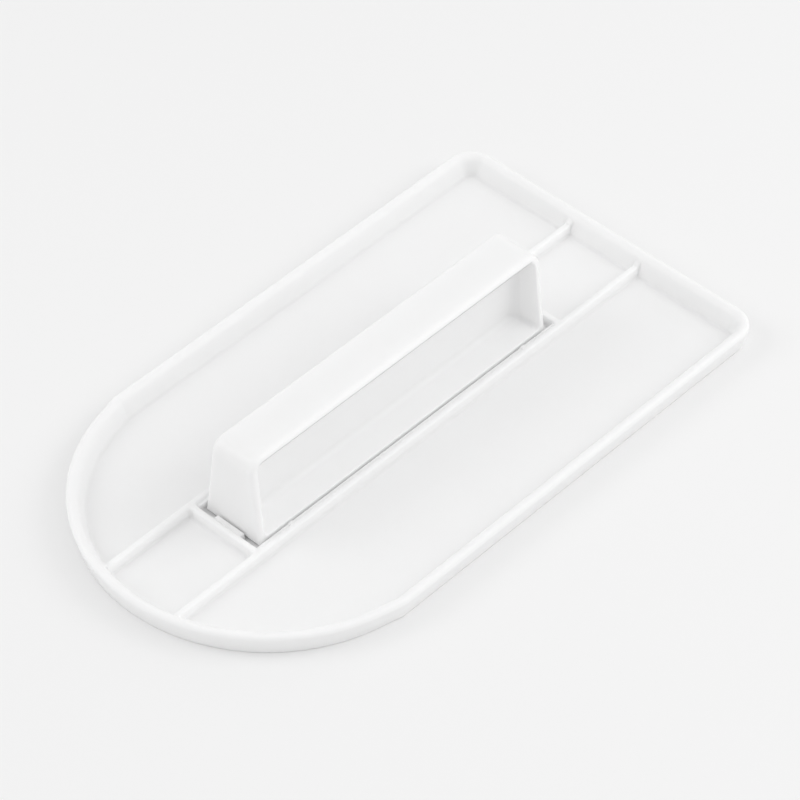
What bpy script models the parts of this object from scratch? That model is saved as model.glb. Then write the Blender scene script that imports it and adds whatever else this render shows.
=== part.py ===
"""Hand smoother: a D-shaped plastic plate with a flared rim and a bridge-shaped finger grip.

Metres, +Z up. The origin is the middle of the plate's flat sole. +X points to the square end of
the plate and +Y lies across it. The object is two mouldings: base_plate is the plate with its rim
and its stiffening ribs, and handle is the grip that stands in the pocket between those ribs.
"""

import math

import bmesh
import bpy

MM = 0.001

# Plate, measured at the widest line of its flared rim
PLATE_LENGTH = 147.9 * MM
PLATE_WIDTH = 83.7 * MM
END_RADIUS = 41.6 * MM
CHORD_ANGLE = math.radians(14)
CORNER_RADIUS = 6.2 * MM
RIM_HEIGHT = 5.55 * MM
RIM_WIDTH = 2.6 * MM
RIM_FLARE = 1.08 * MM
RIM_OUTER_ROUND = 0.9 * MM
RIM_INNER_ROUND = 1.5 * MM
SOLE_ROUND = 0.3 * MM
FLOOR_THICKNESS = 1.0 * MM

# Stiffening ribs, which also frame the pocket for the handle
LONG_RIB_HEIGHT = 3.3 * MM
CROSS_RIB_HEIGHT = 3.24 * MM
RIB_TOP_THICKNESS = 1.3 * MM
RIB_BASE_THICKNESS = 1.9 * MM
RIB_ROUND = 0.4 * MM
LONG_RIB_Y = 9.76 * MM
LONG_RIB_SPAN = (-70.8 * MM, 71.6 * MM)
CROSS_RIB_X = 45.84 * MM
ROOT_OVERLAP = 0.4 * MM

# Ledges along the pocket, locating pads on the cross ribs and nubs on the long ribs
LEDGE_HEIGHT = 2.3 * MM
LEDGE_END = 45.0 * MM
PAD_FACE_X = 43.8 * MM
PAD_WIDTH = 7.6 * MM
PAD_HEIGHT = 3.0 * MM
NUB_X = 35.2 * MM
NUB_WIDTH = 1.3 * MM
NUB_HEIGHT = 3.0 * MM
NUB_REACH = 0.05 * MM
POCKET_GAP = 0.3 * MM

# Handle: an I-shaped section with closed ends, tapered for moulding
HANDLE_BASE_Z = 1.4 * MM
HANDLE_TOP_Z = 22.95 * MM
HANDLE_BASE_LENGTH = 86.8 * MM
HANDLE_TOP_LENGTH = 86.44 * MM
HANDLE_BASE_WIDTH = 15.78 * MM
HANDLE_TOP_WIDTH = 11.0 * MM
HANDLE_END_ROUND = 3.2 * MM
HANDLE_EDGE_ROUND = 0.8 * MM

# Finger recess on each side of the handle's web
WEB_THICKNESS = 2.0 * MM
RECESS_INNER_LENGTH = 81.2 * MM
RECESS_OUTER_LENGTH = 83.4 * MM
RECESS_INNER_Z = (3.9 * MM, 20.65 * MM)
RECESS_OUTER_Z = (3.1 * MM, 21.75 * MM)
RECESS_OUTER_Y = 8.0 * MM
RECESS_ROUND = 1.8 * MM

# Facets along each kind of rounding
END_SEGMENTS = 56
CORNER_SEGMENTS = 8
ROUND_SEGMENTS = 4
END_ROUND_SEGMENTS = 6
EDGE_SEGMENTS = 3
SMOOTH_ANGLE = math.radians(35)
LEVEL_TOLERANCE = 0.01 * MM


def clear_scene():
    """Start from an empty scene."""
    for old in list(bpy.data.objects):
        bpy.data.objects.remove(old, do_unlink=True)


def new_collection(name):
    """Return a new collection in the scene."""
    group = bpy.data.collections.new(name)
    bpy.context.scene.collection.children.link(group)
    return group


def new_object(name, bm, group):
    """Turn a bmesh into an object in a collection."""
    bmesh.ops.recalc_face_normals(bm, faces=bm.faces)
    mesh = bpy.data.meshes.new(name)
    bm.to_mesh(mesh)
    bm.free()
    piece = bpy.data.objects.new(name, mesh)
    group.objects.link(piece)
    return piece


def plastic(name, colour, roughness):
    """A plain moulded plastic."""
    material = bpy.data.materials.new(name)
    material.use_nodes = True
    shader = material.node_tree.nodes["Principled BSDF"]
    shader.inputs["Base Color"].default_value = (*colour, 1.0)
    shader.inputs["Roughness"].default_value = roughness
    shader.inputs["Metallic"].default_value = 0.0
    return material


def arc(centre, radius, start, end, segments):
    """Points along an arc, both ends included."""
    points = []
    for step in range(segments + 1):
        angle = start + (end - start) * step / segments
        points.append((centre[0] + radius * math.cos(angle), centre[1] + radius * math.sin(angle)))
    return points


def plate_outline(inset):
    """The D outline, moved inwards by inset, anticlockwise from the corner at +X, +Y.

    The round end is a little narrower than the plate, so a short chord joins it to each side.
    """
    half = PLATE_WIDTH / 2 - inset
    corner = CORNER_RADIUS - inset
    corner_x = PLATE_LENGTH / 2 - CORNER_RADIUS
    corner_y = PLATE_WIDTH / 2 - CORNER_RADIUS
    end_x = -PLATE_LENGTH / 2 + END_RADIUS
    end = END_RADIUS - inset
    kink_x = end_x - (end - half * math.cos(CHORD_ANGLE)) / math.sin(CHORD_ANGLE)
    first = math.pi / 2 + CHORD_ANGLE
    last = 1.5 * math.pi - CHORD_ANGLE
    outline = arc((corner_x, corner_y), corner, 0.0, math.pi / 2, CORNER_SEGMENTS)
    outline.append((kink_x, half))
    outline += arc((end_x, 0.0), end, first, last, END_SEGMENTS)
    outline.append((kink_x, -half))
    outline += arc((corner_x, -corner_y), corner, 1.5 * math.pi, 2 * math.pi, CORNER_SEGMENTS)
    return outline


def rim_section():
    """Section of the tray as (inset, height), from the sole over the rim to the floor."""
    outer = arc((RIM_OUTER_ROUND, RIM_HEIGHT - RIM_OUTER_ROUND), RIM_OUTER_ROUND,
                math.pi, math.pi / 2, ROUND_SEGMENTS)
    inner = arc((RIM_WIDTH - RIM_INNER_ROUND, RIM_HEIGHT - RIM_INNER_ROUND), RIM_INNER_ROUND,
                math.pi / 2, 0.0, ROUND_SEGMENTS)
    sole = [(RIM_FLARE + SOLE_ROUND, 0.0), (RIM_FLARE, SOLE_ROUND)]
    floor = [(RIM_WIDTH + RIM_FLARE / 2, FLOOR_THICKNESS)]
    return sole + outer + inner + floor


def loft(rings):
    """Closed body through rings of equally many points, with a flat cap on both ends."""
    bm = bmesh.new()
    loops = [[bm.verts.new(point) for point in ring] for ring in rings]
    bm.faces.new(list(reversed(loops[0])))
    for low, high in zip(loops, loops[1:]):
        for index in range(len(low)):
            after = (index + 1) % len(low)
            bm.faces.new((low[index], low[after], high[after], high[index]))
    bm.faces.new(loops[-1])
    return bm


def tapered_block(base_size, top_size, base_z, top_z, centre=(0.0, 0.0)):
    """A cube whose base and top have different sizes."""
    bm = bmesh.new()
    bmesh.ops.create_cube(bm, size=1.0)
    for vert in bm.verts:
        size = top_size if vert.co.z > 0 else base_size
        vert.co.x = centre[0] + vert.co.x * size[0]
        vert.co.y = centre[1] + vert.co.y * size[1]
        vert.co.z = top_z if vert.co.z > 0 else base_z
    return bm


def edges_along(bm, axis, at_height=None):
    """Edges that run mostly along one axis, optionally only those at one height."""
    found = []
    for edge in bm.edges:
        span = [abs(a - b) for a, b in zip(edge.verts[0].co, edge.verts[1].co)]
        level = at_height is None or all(
            abs(vert.co.z - at_height) < LEVEL_TOLERANCE for vert in edge.verts)
        if span[axis] == max(span) and level:
            found.append(edge)
    return found


def round_edges(bm, edges, radius, segments=ROUND_SEGMENTS):
    """Round edges with a bevel."""
    bmesh.ops.bevel(bm, geom=edges, offset=radius, segments=segments, profile=0.5,
                    affect="EDGES", clamp_overlap=True)


def combine(piece, tool, operation):
    """Add an exact Boolean to a piece and hide its tool."""
    boolean = piece.modifiers.new(tool.name, "BOOLEAN")
    boolean.operation = operation
    boolean.solver = "EXACT"
    boolean.object = tool
    tool.hide_render = True
    tool.display_type = "WIRE"


def finish(piece, material):
    """Give a piece its material and smooth its round faces."""
    piece.data.materials.append(material)
    piece.data.shade_smooth()
    piece.data.set_sharp_from_angle(angle=SMOOTH_ANGLE)


def rib(name, length_axis, position, span, height, group):
    """A rib with drafted sides and a rounded top, sunk into the floor it stands on."""
    length = span[1] - span[0]
    base = [RIB_BASE_THICKNESS, RIB_BASE_THICKNESS]
    top = [RIB_TOP_THICKNESS, RIB_TOP_THICKNESS]
    base[length_axis] = length
    top[length_axis] = length
    centre = [position, position]
    centre[length_axis] = (span[0] + span[1]) / 2
    bm = tapered_block(base, top, FLOOR_THICKNESS - ROOT_OVERLAP, height, centre)
    round_edges(bm, edges_along(bm, length_axis, height), RIB_ROUND, EDGE_SEGMENTS)
    return new_object(name, bm, group)


def block(name, low, high, group):
    """A plain block between two corners."""
    base_size = (high[0] - low[0], high[1] - low[1])
    centre = ((high[0] + low[0]) / 2, (high[1] + low[1]) / 2)
    bm = tapered_block(base_size, base_size, low[2], high[2], centre)
    return new_object(name, bm, group)


def make_base_plate(group, tools, material):
    """The plate: a lofted tray with long ribs and their ledges, cross ribs, pads and nubs."""
    rings = [[(x, y, height) for x, y in plate_outline(inset)] for inset, height in rim_section()]
    plate = new_object("base_plate", loft(rings), group)
    pocket_y = HANDLE_BASE_WIDTH / 2 + POCKET_GAP
    root = FLOOR_THICKNESS - ROOT_OVERLAP
    for side in (-1, 1):
        long_rib = rib(f"long_rib_{side}", 0, side * LONG_RIB_Y, LONG_RIB_SPAN,
                       LONG_RIB_HEIGHT, tools)
        combine(plate, long_rib, "UNION")
        ledge_y = sorted((side * pocket_y, side * LONG_RIB_Y))
        ledge = block(f"ledge_{side}", (-LEDGE_END, ledge_y[0], root),
                      (LEDGE_END, ledge_y[1], LEDGE_HEIGHT), tools)
        combine(plate, ledge, "UNION")
    for end in (-1, 1):
        cross_x = end * CROSS_RIB_X
        cross_rib = rib(f"cross_rib_{end}", 1, cross_x, (-LONG_RIB_Y, LONG_RIB_Y),
                        CROSS_RIB_HEIGHT, tools)
        combine(plate, cross_rib, "UNION")
        pad_x = sorted((end * PAD_FACE_X, cross_x))
        pad = block(f"pad_{end}", (pad_x[0], -PAD_WIDTH / 2, root),
                    (pad_x[1], PAD_WIDTH / 2, PAD_HEIGHT), tools)
        combine(plate, pad, "UNION")
        for side in (-1, 1):
            nub_y = sorted((side * (pocket_y - NUB_REACH), side * LONG_RIB_Y))
            nub_x = end * NUB_X
            nub = block(f"nub_{end}_{side}", (nub_x - NUB_WIDTH / 2, nub_y[0], root),
                        (nub_x + NUB_WIDTH / 2, nub_y[1], NUB_HEIGHT), tools)
            combine(plate, nub, "UNION")
    finish(plate, material)
    return plate


def make_recess(side, tools):
    """The drafted core that forms one finger recess, widest at the handle's face."""
    bm = bmesh.new()
    bmesh.ops.create_cube(bm, size=1.0)
    for vert in bm.verts:
        outer = vert.co.y * side > 0
        length = RECESS_OUTER_LENGTH if outer else RECESS_INNER_LENGTH
        levels = RECESS_OUTER_Z if outer else RECESS_INNER_Z
        vert.co.x = vert.co.x * length
        vert.co.z = levels[1] if vert.co.z > 0 else levels[0]
        vert.co.y = side * (RECESS_OUTER_Y if outer else WEB_THICKNESS / 2)
    inner = [edge for edge in bm.edges
             if all(abs(vert.co.y) < WEB_THICKNESS for vert in edge.verts)]
    round_edges(bm, inner + edges_along(bm, 1), RECESS_ROUND, EDGE_SEGMENTS)
    return new_object(f"recess_{side}", bm, tools)


def make_handle(group, tools, material):
    """The grip: a tapered block with rounded edges and a recess on each side."""
    base = (HANDLE_BASE_LENGTH, HANDLE_BASE_WIDTH)
    top = (HANDLE_TOP_LENGTH, HANDLE_TOP_WIDTH)
    bm = tapered_block(base, top, HANDLE_BASE_Z, HANDLE_TOP_Z)
    round_edges(bm, edges_along(bm, 1, HANDLE_TOP_Z), HANDLE_END_ROUND, END_ROUND_SEGMENTS)
    above = HANDLE_BASE_Z + MM
    sides = [edge for edge in bm.edges
             if edge.verts[0].co.y * edge.verts[1].co.y > 0
             and max(vert.co.z for vert in edge.verts) > above]
    round_edges(bm, sides, HANDLE_EDGE_ROUND, EDGE_SEGMENTS)
    handle = new_object("handle", bm, group)
    for side in (-1, 1):
        combine(handle, make_recess(side, tools), "DIFFERENCE")
    finish(handle, material)
    return handle


def main():
    clear_scene()
    group = new_collection("smoother")
    tools = new_collection("cutters")
    make_base_plate(group, tools, plastic("base_plate_plastic", (0.92, 0.92, 0.92), 0.42))
    make_handle(group, tools, plastic("handle_plastic", (0.93, 0.93, 0.93), 0.40))


main()
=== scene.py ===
"""Looks of the hand smoother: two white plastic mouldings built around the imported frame.

Metres, +Z up, in the frame's own axes: +X to the plate's square end, +Y across it. The plate's
top side is a relief, a height over its plan, so every rib meets its neighbours in a moulded
fillet. The handle is lofted from closed rings.
"""

import math

import bmesh
import bpy
import numpy as np
from mathutils import Matrix, Vector
from mathutils.geometry import delaunay_2d_cdt


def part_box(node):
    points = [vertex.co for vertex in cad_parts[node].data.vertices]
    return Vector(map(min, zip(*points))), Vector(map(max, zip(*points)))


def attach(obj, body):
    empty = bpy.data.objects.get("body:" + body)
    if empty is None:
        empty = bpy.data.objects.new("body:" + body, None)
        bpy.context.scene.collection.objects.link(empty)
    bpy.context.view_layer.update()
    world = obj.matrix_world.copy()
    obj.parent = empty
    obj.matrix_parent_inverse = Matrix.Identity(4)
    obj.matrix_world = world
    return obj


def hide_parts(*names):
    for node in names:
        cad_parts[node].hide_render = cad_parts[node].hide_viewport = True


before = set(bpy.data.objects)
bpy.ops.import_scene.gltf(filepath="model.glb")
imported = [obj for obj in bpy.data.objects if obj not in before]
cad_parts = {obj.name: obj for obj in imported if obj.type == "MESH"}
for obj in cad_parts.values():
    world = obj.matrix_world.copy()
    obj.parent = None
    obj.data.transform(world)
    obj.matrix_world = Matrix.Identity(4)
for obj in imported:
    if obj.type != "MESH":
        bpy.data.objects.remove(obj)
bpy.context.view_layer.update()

MM = 0.001

# Sizes in millimetres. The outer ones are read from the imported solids.
plate_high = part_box("base_plate")[1] / MM
grip_low, grip_high = (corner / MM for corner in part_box("handle"))
BOX_MARGIN = 0.01

HALF_LENGTH = plate_high.x - BOX_MARGIN
HALF_WIDTH = plate_high.y - BOX_MARGIN
RIM_HEIGHT = plate_high.z
END_RADIUS = 41.6
CHORD_ANGLE = math.radians(14)
CORNER_RADIUS = 6.2
FLOOR = 1.0

# Rim: its outer wall leans outwards from the sole, and its inner face slopes down to the floor
SOLE_INSET = 1.08
SOLE_ROUND = 0.30
RIM_CORNER = -0.22
RIM_OUTER_ROUND = 0.9
RIM_TOP_WIDTH = 2.15
RIM_INNER_ROUND = 2.0
RIM_FOOT = 3.85
RIM_FILLET = 0.8

# Ribs, with the pads, nubs and ledges of the pocket between them
RIB_HEIGHT = 3.3
RIB_HALF_TOP = 0.65
RIB_HALF_BASE = 0.95
RIB_ROUND = 0.45
RIB_FILLET = 0.6
LONG_RIB_Y = 9.76
CROSS_RIB_X = 45.84
CORNER_BLEND = 1.2
RIM_BLEND = 0.6
PAD_FACE_X = 43.8
PAD_HALF_WIDTH = 3.8
PAD_HEIGHT = 3.0
NUB_X = 35.2
NUB_HALF_WIDTH = 0.65
NUB_FACE_Y = 8.1
NUB_HEIGHT = 3.0
LEDGE_Y = 8.15
LEDGE_HEIGHT = 2.8
STEP_DRAFT = 0.06
STEP_FILLET = 0.3
STEP_ROUND = 0.25

# Handle: its foot, its top, and the finger recess between its mouth and the web
FOOT_Z = grip_low.z + BOX_MARGIN
FOOT_HALF_LENGTH = grip_high.x - BOX_MARGIN
FOOT_HALF_WIDTH = grip_high.y - BOX_MARGIN
TOP_Z = grip_high.z - BOX_MARGIN
TOP_HALF_LENGTH = 43.22
TOP_HALF_WIDTH = 5.5
TOP_CORNER = 3.2
FOOT_CORNER = 0.5
EDGE_ROUND = 1.15
FOOT_EDGE_ROUND = 0.3
WEB_HALF = 1.0
MOUTH_ROUND = 0.35
RECESS_FILLET = 2.2
RECESS_CORNER = 2.2
RECESS_FOOT_CORNER = 1.0
MOUTH_END, MOUTH_FOOT, MOUTH_TOP = 1.6, 1.7, 1.2
MOUTH_LIP = 0.6
LIP_NARROWING = 0.6
WEB_END, WEB_FOOT, WEB_TOP = 2.7, 2.5, 2.3

# Mesh: an extra line at GUARD beside each rounded edge keeps the faces next to it flat
GUARD = 0.15
SECTION_RUN = 1.0
CREST_OVERLAP = 0.2
PLAN_TOLERANCE = 0.0001
WELD_DISTANCE = 0.002

# Steps along each kind of line or rounding
PLATE_CORNER_STEPS = 12
ROUND_END_STEPS = 96
PLATE_SIDE_STEPS = 13
SQUARE_END_STEPS = 9
FOOT_CORNER_STEPS = 6
TOP_CORNER_STEPS = 8
HANDLE_END_STEPS = 4
HANDLE_SIDE_STEPS = 10
EDGE_RINGS = 7
FACE_RING_SHARES = (0.15, 0.85)

# Plastic: noise scales are per metre
PLASTIC_WHITE = (0.95, 0.95, 0.95)
PLASTIC_IOR = 1.49
SCATTER_DEPTH = 0.8 * MM
TONE_SCALE, TONE_DARK, TONE_LIGHT = 60, 0.985, 1.01
GLOSS_SCALE, GLOSS_DROP, GLOSS_RISE = 350, 0.04, 0.05
GRAIN_SCALE, GRAIN_STRENGTH, GRAIN_HEIGHT = 2600, 0.08, 0.04 * MM
WAVE_SCALE, WAVE_STRENGTH, WAVE_HEIGHT = 28, 0.15, 0.4 * MM

# Stage, in metres: softboxes as (name, azimuth, elevation, watts), all at one distance
LAMPS = [
    ("key", math.radians(315), math.radians(38), 1.45),
    ("back", math.radians(135), math.radians(38), 1.25),
    ("top", math.radians(270), math.radians(65), 0.50),
    ("side", math.radians(0), math.radians(17), 0.40),
]
LAMP_DISTANCE = 0.9
LAMP_SIZE = 0.5
DOME_STRENGTH = 0.745
FLOOR_SIZE = 6.0
FLOOR_WHITE = (0.9, 0.9, 0.9)

# Camera, in metres except for its lens and sensor, which are in millimetres
CAMERA_AZIMUTH = math.radians(-137.42)
CAMERA_ELEVATION = math.radians(44.81)
CAMERA_ROLL = math.radians(0.575)
CAMERA_DISTANCE = 0.8147
CAMERA_RIGHT = 0.00428
CAMERA_UP = 0.00468
CAMERA_LENS = 175.83
CAMERA_SENSOR = 36.0


def arc(centre, radius, start, end, segments):
    """Points along an arc, both ends included."""
    angles = np.linspace(start, end, segments + 1)
    return [(centre[0] + radius * math.cos(a), centre[1] + radius * math.sin(a)) for a in angles]


def rounded_path(corners, segments=6):
    """A path of (x, y, radius) corners, with each corner of a radius turned into an arc."""
    path = [Vector(corners[0][:2])]
    for before, here, after in zip(corners, corners[1:], corners[2:]):
        point = Vector(here[:2])
        radius = here[2]
        inward = (Vector(before[:2]) - point).normalized()
        outward = (Vector(after[:2]) - point).normalized()
        half = inward.angle(outward) / 2
        reach = radius / math.tan(half)
        start = point + inward * reach
        centre = point + (inward + outward).normalized() * radius / math.sin(half)
        turn = math.pi - 2 * half
        side = 1 if inward.cross(outward) < 0 else -1
        spoke = start - centre
        for step in range(segments + 1):
            path.append(centre + Matrix.Rotation(side * turn * step / segments, 2) @ spoke)
    path.append(Vector(corners[-1][:2]))
    return path


def plate_inset(x, y):
    """How far a point of the plan lies inside the plate's widest outline."""
    side = HALF_WIDTH - abs(y)
    corner_x = HALF_LENGTH - CORNER_RADIUS
    corner_y = HALF_WIDTH - CORNER_RADIUS
    end_x = END_RADIUS - HALF_LENGTH
    if x < end_x:
        chord = (end_x - x) * math.sin(CHORD_ANGLE) + abs(y) * math.cos(CHORD_ANGLE)
        arc_starts = end_x - x > abs(y) * math.tan(CHORD_ANGLE)
        reach = math.hypot(x - end_x, y) if arc_starts else chord
        return min(side, END_RADIUS - reach)
    if x > corner_x and abs(y) > corner_y:
        return CORNER_RADIUS - math.hypot(x - corner_x, abs(y) - corner_y)
    return min(side, HALF_LENGTH - x)


def straight(start, end, count):
    """Points strictly between two ends, with one close to each end to keep the shading flat."""
    start, end = Vector(start), Vector(end)
    length = (end - start).length
    shares = [GUARD / length] + [step / count for step in range(1, count)] + [1 - GUARD / length]
    return [tuple(start.lerp(end, share)) for share in shares]


def plate_outline(inset):
    """The D outline at an inset, anticlockwise from the square end's upper corner."""
    corner = CORNER_RADIUS - inset
    corner_x = HALF_LENGTH - CORNER_RADIUS
    corner_y = HALF_WIDTH - CORNER_RADIUS
    end_x = END_RADIUS - HALF_LENGTH
    end = END_RADIUS - inset
    half = HALF_WIDTH - inset
    kink_x = end_x - (end - half * math.cos(CHORD_ANGLE)) / math.sin(CHORD_ANGLE)
    upper = arc((corner_x, corner_y), corner, 0, math.pi / 2, PLATE_CORNER_STEPS)
    first, last = math.pi / 2 + CHORD_ANGLE, 1.5 * math.pi - CHORD_ANGLE
    round_end = arc((end_x, 0), end, first, last, ROUND_END_STEPS)
    round_end = [(kink_x, half)] + round_end + [(kink_x, -half)]
    lower = arc((corner_x, -corner_y), corner, 1.5 * math.pi, 2 * math.pi, PLATE_CORNER_STEPS)
    outline = upper + straight(upper[-1], round_end[0], PLATE_SIDE_STEPS) + round_end
    outline += straight(round_end[-1], lower[0], PLATE_SIDE_STEPS) + lower
    return outline + straight(lower[-1], upper[0], SQUARE_END_STEPS)


def rib_section():
    """Height above the floor over the distance from a rib's centre line."""
    height = RIB_HEIGHT - FLOOR
    return rounded_path([(0, height, 0), (RIB_HALF_TOP, height, RIB_ROUND),
                         (RIB_HALF_BASE, 0, RIB_FILLET),
                         (RIB_HALF_BASE + SECTION_RUN, 0, 0)], segments=5)


def step_section(height):
    """Height above the floor over the distance inside the edge of a pad, a nub or a ledge."""
    return rounded_path([(-SECTION_RUN, 0, 0), (-STEP_DRAFT, 0, STEP_FILLET),
                         (STEP_DRAFT, height, STEP_ROUND), (SECTION_RUN, height, 0)], segments=4)


def sample(section, distance):
    """Height of a section at a distance."""
    return float(np.interp(distance, [p[0] for p in section], [p[1] for p in section]))


def blend_max(a, b, width):
    """The larger of two heights, with a fillet where they cross."""
    width = min(width, a, b)
    if width <= 0 or abs(a - b) >= width:
        return max(a, b)
    return max(a, b) + (width - abs(a - b)) ** 2 / (4 * width)


def blend_min(a, b, width):
    """The smaller of two distances, rounded where they cross."""
    return min(a, b) - max(width - abs(a - b), 0) ** 2 / (4 * width)


RIM_SECTION = rounded_path([
    (SOLE_INSET + SECTION_RUN, 0, 0), (SOLE_INSET, 0, SOLE_ROUND),
    (RIM_CORNER, RIM_HEIGHT, RIM_OUTER_ROUND), (RIM_TOP_WIDTH, RIM_HEIGHT, RIM_INNER_ROUND),
    (RIM_FOOT, FLOOR, RIM_FILLET), (RIM_FOOT + SECTION_RUN, FLOOR, 0)], segments=8)
WIDEST = min(range(len(RIM_SECTION)), key=lambda index: RIM_SECTION[index].x)
RIM_WALL = RIM_SECTION[:WIDEST + 1]
RIM_TOP = [Vector((p.x, p.y - FLOOR)) for p in RIM_SECTION[WIDEST:]]
RIB_SECTION = rib_section()
PAD_SECTION = step_section(PAD_HEIGHT - FLOOR)
NUB_SECTION = step_section(NUB_HEIGHT - FLOOR)
LEDGE_SECTION = step_section(LEDGE_HEIGHT - FLOOR)


def plate_height(x, y):
    """Height of the plate's top side over a point of its plan."""
    rim = sample(RIM_TOP, plate_inset(x, y))
    from_long = abs(abs(y) - LONG_RIB_Y)
    along = abs(x)
    from_cross = abs(along - CROSS_RIB_X)
    from_rib = from_long
    if abs(y) < LONG_RIB_Y:
        from_rib = blend_min(from_long, from_cross, CORNER_BLEND)
    height = blend_max(rim, sample(RIB_SECTION, max(from_rib, 0)), RIM_BLEND)
    if along < CROSS_RIB_X and abs(y) < LONG_RIB_Y:
        pad = sample(PAD_SECTION, min(along - PAD_FACE_X, PAD_HALF_WIDTH - abs(y)))
        nub = sample(NUB_SECTION,
                     min(NUB_HALF_WIDTH - abs(along - NUB_X), abs(y) - NUB_FACE_Y))
        ledge = sample(LEDGE_SECTION, abs(y) - LEDGE_Y)
        height = max(height, pad, nub, ledge)
    return FLOOR + height


def plate_lines():
    """Lines of the plan along which the top side bends, as pairs of end points."""
    lines = []
    offsets = sorted({round(side * p.x, 4) for p in RIB_SECTION[:-1] for side in (-1, 1)})
    offsets = [offsets[0] - GUARD] + offsets + [offsets[-1] + GUARD]
    depth = RIM_TOP_WIDTH - CREST_OVERLAP
    end_x = END_RADIUS - HALF_LENGTH
    for offset in offsets:
        for side in (-1, 1):
            y = side * (LONG_RIB_Y + offset)
            left = end_x - math.sqrt((END_RADIUS - depth) ** 2 - y * y)
            lines.append(((left, y), (HALF_LENGTH - depth, y)))
            x = side * (CROSS_RIB_X + offset)
            lines.append(((x, -LONG_RIB_Y), (x, LONG_RIB_Y)))
    steps = [p.x for p in PAD_SECTION[1:-1]]
    steps = [steps[0] - GUARD] + steps + [steps[-1] + GUARD]
    for step in steps:
        for side in (-1, 1):
            ledge_y = side * (LEDGE_Y + step)
            lines.append(((-CROSS_RIB_X, ledge_y), (CROSS_RIB_X, ledge_y)))
            x = side * (PAD_FACE_X + step)
            reach = PAD_HALF_WIDTH - steps[0]
            lines.append(((x, -reach), (x, reach)))
            y = side * (PAD_HALF_WIDTH - step)
            for end in (-1, 1):
                lines.append(((end * (PAD_FACE_X + steps[0]), y),
                              (end * CROSS_RIB_X, y)))
            for end in (-1, 1):
                front = side * (NUB_FACE_Y + step)
                span = NUB_HALF_WIDTH - steps[0]
                nub_x = end * NUB_X
                lines.append(((nub_x - span, front), (nub_x + span, front)))
                for edge in (-1, 1):
                    x = nub_x + edge * (NUB_HALF_WIDTH - step)
                    lines.append(((x, side * (NUB_FACE_Y + steps[0])), (x, side * LONG_RIB_Y)))
    return lines


def plate_relief(bm):
    """Adds the plate's top side: its plan cut along rings and lines, lifted to its height."""
    points, edges = [], []
    rings = [p.x for p in RIM_TOP[:-1]]
    rings.append(rings[-1] + GUARD)
    for inset in rings:
        ring = plate_outline(inset)
        first = len(points)
        points += ring
        edges += [(first + i, first + (i + 1) % len(ring)) for i in range(len(ring))]
    border = list(range(len(plate_outline(rings[0]))))
    for start, end in plate_lines():
        edges.append((len(points), len(points) + 1))
        points += [start, end]
    plan = [Vector(point) for point in points]
    inside_border = 1
    verts, _, faces, *_ = delaunay_2d_cdt(plan, edges, [border], inside_border, PLAN_TOLERANCE)
    made = [bm.verts.new((v.x, v.y, plate_height(v.x, v.y))) for v in verts]
    for face in faces:
        bm.faces.new([made[index] for index in face])


def loft(bm, rings):
    """Adds the walls between rings of equally many points and returns the rings' vertices."""
    loops = [[bm.verts.new(point) for point in ring] for ring in rings]
    for low, high in zip(loops, loops[1:]):
        for index in range(len(low)):
            after = (index + 1) % len(low)
            bm.faces.new((low[index], low[after], high[after], high[index]))
    return loops


def to_object(name, bm):
    """Turns a bmesh in millimetres into a smooth object in metres."""
    bmesh.ops.remove_doubles(bm, verts=bm.verts, dist=WELD_DISTANCE)
    bmesh.ops.recalc_face_normals(bm, faces=bm.faces)
    bmesh.ops.scale(bm, vec=(MM, MM, MM), verts=bm.verts)
    mesh = bpy.data.meshes.new(name)
    bm.to_mesh(mesh)
    bm.free()
    piece = bpy.data.objects.new(name, mesh)
    bpy.context.scene.collection.objects.link(piece)
    mesh.shade_smooth()
    return piece


def make_plate():
    """The plate: its relief on top, the leaning wall round it and the flat sole."""
    bm = bmesh.new()
    plate_relief(bm)
    rings = [[(x, y, p.y) for x, y in plate_outline(p.x)] for p in RIM_WALL]
    loops = loft(bm, rings)
    bm.faces.new(loops[0])
    return to_object("plate_moulding", bm)


def grip_ring(end, foot, top, corner, foot_corner):
    """A ring of (x, z) points in the handle's side view, at insets from its ends, foot and top."""
    half = FOOT_HALF_LENGTH - end
    low, high = FOOT_Z + foot, TOP_Z - top
    lower = arc((half - foot_corner, low + foot_corner), foot_corner, -math.pi / 2, 0,
                FOOT_CORNER_STEPS)
    upper = arc((half - corner, high - corner), corner, 0, math.pi / 2, TOP_CORNER_STEPS)
    ring = lower + straight(lower[-1], upper[0], HANDLE_END_STEPS) + upper
    mirror = [(-x, z) for x, z in reversed(ring)]
    ring = ring + straight(ring[-1], mirror[0], HANDLE_SIDE_STEPS) + mirror
    ring += straight(ring[-1], ring[0], HANDLE_SIDE_STEPS)
    lean = (FOOT_HALF_LENGTH - TOP_HALF_LENGTH) / (TOP_Z - FOOT_Z)
    return [(x - math.copysign(lean * (z - FOOT_Z), x), z) for x, z in ring]


def grip_half_width(z):
    """Half the handle's width at a height."""
    share = (z - FOOT_Z) / (TOP_Z - FOOT_Z)
    return FOOT_HALF_WIDTH + (TOP_HALF_WIDTH - FOOT_HALF_WIDTH) * share


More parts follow.
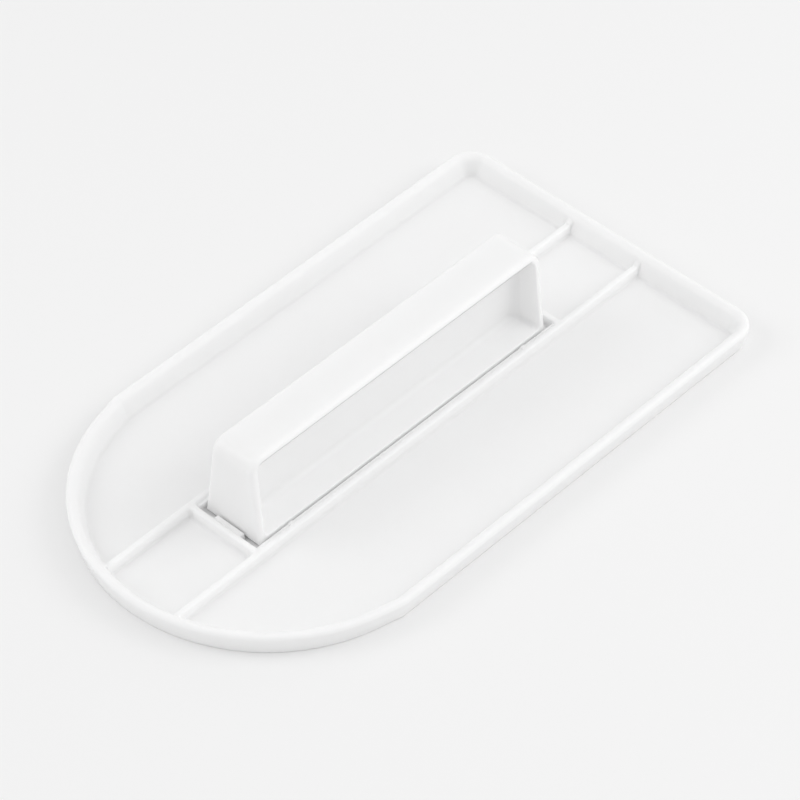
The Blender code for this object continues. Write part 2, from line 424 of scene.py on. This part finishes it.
def grip_edge_rings():
    """Rings over the rounded outer edge, from the ends and the top round to the side face."""
    rings = []
    turns = [0.0] + list(np.linspace(0, math.pi / 2, EDGE_RINGS))
    for index, turn in enumerate(turns):
        guard = GUARD if index == 0 else 0
        inset = 1 - math.cos(turn)
        drop = 1 - math.sin(turn)
        ring = []
        for x, z in grip_ring(EDGE_ROUND * inset, FOOT_EDGE_ROUND * inset, EDGE_ROUND * inset,
                              TOP_CORNER - EDGE_ROUND * inset, FOOT_CORNER):
            low = FOOT_Z + FOOT_EDGE_ROUND * inset
            share = min(max((z - low) / EDGE_ROUND, 0), 1)
            radius = FOOT_EDGE_ROUND + (EDGE_ROUND - FOOT_EDGE_ROUND) * share
            ring.append((x, grip_half_width(z) - radius * drop - guard, z))
        rings.append(ring)
    return rings


def recess_rings():
    """Rings from the mouth of the finger recess, on the side face, down to the web."""
    depth = FOOT_HALF_WIDTH - WEB_HALF
    path = rounded_path([(-MOUTH_LIP, depth, 0), (0, depth, MOUTH_ROUND), (1, 0, RECESS_FILLET),
                         (1 + SECTION_RUN, 0, 0)], segments=8)
    rings = []
    for point in path[1:-1]:
        share, level = point.x, point.y / depth
        inner = max(share, 0)
        lip = min(share, 0)
        ring = []
        ends = MOUTH_END + (WEB_END - MOUTH_END) * inner + lip
        foot = MOUTH_FOOT + (WEB_FOOT - MOUTH_FOOT) * inner + lip * LIP_NARROWING
        top = MOUTH_TOP + (WEB_TOP - MOUTH_TOP) * inner + lip * LIP_NARROWING
        for x, z in grip_ring(ends, foot, top, RECESS_CORNER, RECESS_FOOT_CORNER):
            ring.append((x, WEB_HALF + (grip_half_width(z) - WEB_HALF) * level, z))
        rings.append(ring)
    return rings


def between(start, end, share):
    """The ring at a share of the way from one ring to another."""
    return [tuple(Vector(a).lerp(Vector(b), share)) for a, b in zip(start, end)]


def make_handle():
    """The handle: rings from the web's -Y face, round the outer edge, to the web's +Y face."""
    bm = bmesh.new()
    edge = grip_edge_rings()
    recess = recess_rings()
    face = [between(edge[-1], recess[0], share) for share in FACE_RING_SHARES]
    side = edge + face + recess
    rings = [[(x, -y, z) for x, y, z in ring] for ring in reversed(side)] + side
    loops = loft(bm, rings)
    bm.faces.new(loops[0])
    bm.faces.new(loops[-1])
    return to_object("handle_moulding", bm)


def plastic(name, colour, roughness):
    """Translucent moulded plastic: faint tone drift, fine grain, slight waves, uneven gloss."""
    material = bpy.data.materials.new(name)
    material.use_nodes = True
    nodes, links = material.node_tree.nodes, material.node_tree.links
    shader = nodes["Principled BSDF"]
    shader.inputs["IOR"].default_value = PLASTIC_IOR
    shader.inputs["Subsurface Weight"].default_value = 1.0
    shader.inputs["Subsurface Radius"].default_value = (1.0, 1.0, 1.0)
    shader.inputs["Subsurface Scale"].default_value = SCATTER_DEPTH
    place = nodes.new("ShaderNodeTexCoord")

    def noise(scale, detail):
        texture = nodes.new("ShaderNodeTexNoise")
        texture.inputs["Scale"].default_value = scale
        texture.inputs["Detail"].default_value = detail
        links.new(place.outputs["Object"], texture.inputs["Vector"])
        return texture.outputs["Fac"]

    def remap(value, low, high, out_low, out_high):
        ramp = nodes.new("ShaderNodeMapRange")
        ramp.inputs["From Min"].default_value = low
        ramp.inputs["From Max"].default_value = high
        ramp.inputs["To Min"].default_value = out_low
        ramp.inputs["To Max"].default_value = out_high
        links.new(value, ramp.inputs["Value"])
        return ramp.outputs["Result"]

    tone = nodes.new("ShaderNodeMix")
    tone.data_type = "RGBA"
    tone.inputs["A"].default_value = (*[c * TONE_DARK for c in colour], 1)
    tone.inputs["B"].default_value = (*[min(c * TONE_LIGHT, 1) for c in colour], 1)
    links.new(noise(TONE_SCALE, 3), tone.inputs["Factor"])
    links.new(tone.outputs["Result"], shader.inputs["Base Color"])
    gloss = remap(noise(GLOSS_SCALE, 4), 0.3, 0.7, roughness - GLOSS_DROP, roughness + GLOSS_RISE)
    links.new(gloss, shader.inputs["Roughness"])
    grain = nodes.new("ShaderNodeBump")
    grain.inputs["Strength"].default_value = GRAIN_STRENGTH
    grain.inputs["Distance"].default_value = GRAIN_HEIGHT
    links.new(noise(GRAIN_SCALE, 2), grain.inputs["Height"])
    wave = nodes.new("ShaderNodeBump")
    wave.inputs["Strength"].default_value = WAVE_STRENGTH
    wave.inputs["Distance"].default_value = WAVE_HEIGHT
    links.new(noise(WAVE_SCALE, 1), wave.inputs["Height"])
    links.new(wave.outputs["Normal"], grain.inputs["Normal"])
    links.new(grain.outputs["Normal"], shader.inputs["Normal"])
    return material


def direction(azimuth, elevation):
    """Unit vector from the object towards a place round and above it."""
    return Vector((math.cos(elevation) * math.cos(azimuth),
                   math.cos(elevation) * math.sin(azimuth), math.sin(elevation)))


def softbox(name, position, watts):
    """A square soft light aimed at the object."""
    data = bpy.data.lights.new(name, "AREA")
    data.shape = "SQUARE"
    data.size = LAMP_SIZE
    data.energy = watts
    lamp = bpy.data.objects.new(name, data)
    lamp.location = position
    lamp.rotation_euler = (-position).to_track_quat("-Z", "Y").to_euler()
    lamp.visible_camera = False
    bpy.context.scene.collection.objects.link(lamp)


def make_stage():
    """A pale floor, a soft white dome and the softboxes."""
    bpy.ops.mesh.primitive_plane_add(size=FLOOR_SIZE, location=(0, 0, 0))
    floor = bpy.context.object
    floor.name = "floor"
    material = bpy.data.materials.new("floor_white")
    material.use_nodes = True
    shader = material.node_tree.nodes["Principled BSDF"]
    shader.inputs["Base Color"].default_value = (*FLOOR_WHITE, 1)
    shader.inputs["Roughness"].default_value = 0.9
    floor.data.materials.append(material)
    for name, azimuth, elevation, watts in LAMPS:
        softbox(name, direction(azimuth, elevation) * LAMP_DISTANCE, watts)
    world = bpy.data.worlds.new("dome")
    world.use_nodes = True
    background = world.node_tree.nodes["Background"]
    background.inputs["Color"].default_value = (1, 1, 1, 1)
    background.inputs["Strength"].default_value = DOME_STRENGTH
    bpy.context.scene.world = world
    bpy.context.scene.view_settings.view_transform = "Standard"


def make_camera():
    """A long lens above the round end's near side."""
    back = direction(CAMERA_AZIMUTH, CAMERA_ELEVATION)
    right = Vector((-math.sin(CAMERA_AZIMUTH), math.cos(CAMERA_AZIMUTH), 0))
    up = back.cross(right)
    turned_right = right * math.cos(CAMERA_ROLL) + up * math.sin(CAMERA_ROLL)
    turned_up = up * math.cos(CAMERA_ROLL) - right * math.sin(CAMERA_ROLL)
    place = turned_right * CAMERA_RIGHT + turned_up * CAMERA_UP + back * CAMERA_DISTANCE
    data = bpy.data.cameras.new("camera")
    data.sensor_width = CAMERA_SENSOR
    data.lens = CAMERA_LENS
    data.clip_start = 0.01
    camera = bpy.data.objects.new("camera", data)
    axes = Matrix((turned_right, turned_up, back)).transposed()
    camera.matrix_world = Matrix.Translation(place) @ axes.to_4x4()
    bpy.context.scene.collection.objects.link(camera)
    bpy.context.scene.camera = camera


make_camera()
make_stage()

plate = make_plate()
plate.data.materials.append(plastic("plate_plastic", PLASTIC_WHITE, 0.42))
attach(plate, "root")
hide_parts("base_plate")

handle = make_handle()
handle.data.materials.append(plastic("handle_plastic", PLASTIC_WHITE, 0.40))
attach(handle, "root")
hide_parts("handle")
